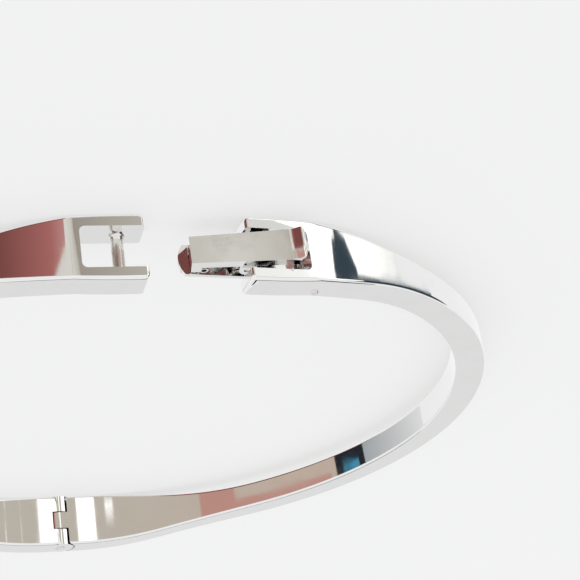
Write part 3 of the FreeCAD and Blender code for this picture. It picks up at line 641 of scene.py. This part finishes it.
world = bpy.data.worlds.new("studio")
bpy.context.scene.world = world
world.use_nodes = True
world.node_tree.nodes["Background"].inputs["Color"].default_value = (0.955, 0.965, 0.965, 1)
world.node_tree.nodes["Background"].inputs["Strength"].default_value = 1.0

# %% [markdown]
# Each card is a sheet bent on a wide sphere about the bracelet. It is given by two bearings, from the
# +Y direction towards +X, and by the heights of its lower and upper edge over the horizon at each of
# them, all in degrees. Its glow runs from one colour to another along the bearing. A card on a higher
# layer hangs a little nearer, in front of the ones behind it.


# %% Cards
CARD_DISTANCE, LAYER_STEP = 12.0, 0.1


def seen_at(bearing, height, distance):
    a, e = math.radians(bearing), math.radians(height)
    return Vector((math.sin(a) * math.cos(e), math.cos(a) * math.cos(e), math.sin(e))) * distance


def card(name, west, east, first, second=None, layer=0):
    """west and east are (bearing, low, high). first and second are the glow at those ends."""
    second = second or first
    mesh = bmesh.new()
    bmesh.ops.create_grid(mesh, x_segments=24, y_segments=12, size=0.5)
    tone = mesh.loops.layers.float_color.new("glow")
    shares = {vert: (vert.co.x + 0.5, vert.co.y + 0.5) for vert in mesh.verts}
    for face in mesh.faces:
        for loop in face.loops:
            across = shares[loop.vert][0]
            loop[tone] = (*[a + (b - a) * across for a, b in zip(first, second)], 1)
    for vert, (across, upward) in shares.items():
        bearing, low, high = [a + (b - a) * across for a, b in zip(west, east)]
        vert.co = seen_at(bearing, low + (high - low) * upward, CARD_DISTANCE - LAYER_STEP * layer)
    sheet = as_object(mesh, name)
    sheet.data.materials.append(card_glow)
    sheet.visible_camera = sheet.visible_diffuse = sheet.visible_shadow = False
    return sheet


card_glow = bpy.data.materials.new("card glow")
card_glow.use_nodes = True
card_glow.node_tree.nodes.clear()
tone_node = add_node(card_glow.node_tree, "ShaderNodeVertexColor", "glow of the card", layer_name="glow")
glow = add_node(card_glow.node_tree, "ShaderNodeEmission", "glow")
glow_out = add_node(card_glow.node_tree, "ShaderNodeOutputMaterial", "card")
card_glow.node_tree.links.new(tone_node.outputs["Color"], glow.inputs["Color"])
card_glow.node_tree.links.new(glow.outputs[0], glow_out.inputs["Surface"])

ROSE_DARK, ROSE, ROSE_PALE = (0.22, 0.075, 0.068), (0.42, 0.15, 0.14), (0.56, 0.28, 0.26)
LINEN_DARK, LINEN, LINEN_PALE = (0.33, 0.295, 0.255), (0.55, 0.52, 0.46), (0.74, 0.725, 0.68)
LAMP, SOFT_LAMP, DIM_LAMP = (1.5, 1.5, 1.48), (1.06, 1.06, 1.04), (0.76, 0.77, 0.74)
TEAL, BLACK, BLUE = (0.042, 0.062, 0.078), (0.02, 0.022, 0.027), (0.07, 0.30, 0.46)
CLAY, ROSE_CLAY, GREY, GREY_PALE = (0.58, 0.47, 0.39), (0.56, 0.3, 0.255), (0.4, 0.43, 0.45), (0.82, 0.82, 0.825)

# In front, below the clasp: what its outer faces show.
card("rose_far", (-125, -88, -22), (-39, -88, -22), ROSE_DARK, layer=1)
card("rose_cloth", (-39, -88, -22), (-24, -88, -22), ROSE_DARK, ROSE, layer=1)
card("rose_edge", (-24, -88, -26.8), (-19, -88, -28.6), ROSE, ROSE_PALE, layer=1)
card("linen_gap", (-26, -88, -22), (-4, -88, -22), LINEN_PALE)
card("linen_west", (-4, -88, -22), (-1.4, -88, -22), LINEN, LINEN_PALE)
card("linen_middle", (-1.4, -88, -22), (1.3, -88, -22), LINEN_PALE, LINEN)
card("linen_east", (1.3, -88, -22), (5.6, -88, -22), LINEN_DARK, LINEN)
card("linen_fade", (5.6, -88, -22), (15, -88, -22), LINEN, LINEN_PALE)
card("dim_lamp", (15, -88, -27.4), (25.7, -88, -27.4), LINEN_PALE, DIM_LAMP)
card("soft_lamp", (15, -27.4, -2), (25.7, -27.4, -2), LINEN_PALE, SOFT_LAMP)
card("lamp_front", (25.7, -88, -2), (54, -88, -2), LAMP)
card("lamp_side", (54, -88, -2), (78, -88, -2), LAMP, SOFT_LAMP)
card("teal_tip", (53.4, -28, -27.4), (57, -27.4, -27.3), TEAL, layer=2)
card("teal_west", (51.2, -26, -20), (52.2, -27.4, -20), TEAL, layer=2)
card("teal_flag", (52.2, -27.4, -20), (57.2, -27.4, -20), TEAL, layer=2)
card("teal_east", (57.2, -27.4, -20), (60.2, -25.9, -20), TEAL, layer=2)
card("teal_below", (42, -88, -28.2), (66, -88, -27.6), TEAL, layer=2)
card("teal_rim", (60.2, -25.6, 22), (95, -24.4, 22), TEAL, layer=2)

# Behind: what the far inner face shows.
card("linen_behind", (-98, -21.6, -12), (45, -21.6, -12), CLAY, LINEN)
card("pale_behind", (1.5, -21.6, -12), (8.5, -21.6, -12), LAMP, layer=1)
card("pale_spot", (-5.5, -19.1, -18.4), (-2.5, -19.1, -18.4), LAMP, layer=1)
card("rose_behind", (-53, -21.6, -12), (-39, -21.6, -12), ROSE_CLAY, layer=1)
card("rose_strip", (-95, -18.6, -12), (-53, -18.3, -12), ROSE_CLAY, layer=1)
card("grey_behind", (-150, -23, -12), (-112, -23, -12), GREY_PALE, GREY, layer=1)
card("dark_behind", (-112, -23, -12), (-97.5, -23, -12), BLACK, layer=2)
card("blue_behind", (-109, -19.1, -18.2), (-101, -19.0, -18.2), BLUE, layer=3)

# Above: what the upper edge shows.
card("grey_above", (115, 5, 33), (185, 5, 33), GREY_PALE)
card("dark_above", (100, 36, 56), (185, 36, 56), BLACK)

# %% [markdown]
# ## The camera
# It looks down across the clasp towards the hinge, and is turned over, so the clasp is at the top.

# %% Camera
camera_data = bpy.data.cameras.new("camera")
camera = bpy.data.objects.new("camera", camera_data)
bpy.context.scene.collection.objects.link(camera)
bpy.context.scene.camera = camera
right_way = Vector((0.926, 0.349, 0.143)).normalized()
up_way = Vector((-0.034, 0.455, -0.890))
up_way = (up_way - right_way * up_way.dot(right_way)).normalized()
back_way = right_way.cross(up_way)
camera.matrix_world = Matrix.Translation((-0.0384, 0.1199, 0.0533)) @ Matrix(
    (right_way, up_way, back_way)).transposed().to_4x4()
camera_data.sensor_width = 36.0
camera_data.lens = 36.0 * 1544 / 580
camera_data.clip_start, camera_data.clip_end = 0.005, 20.0
bpy.context.scene.view_settings.view_transform = "Standard"
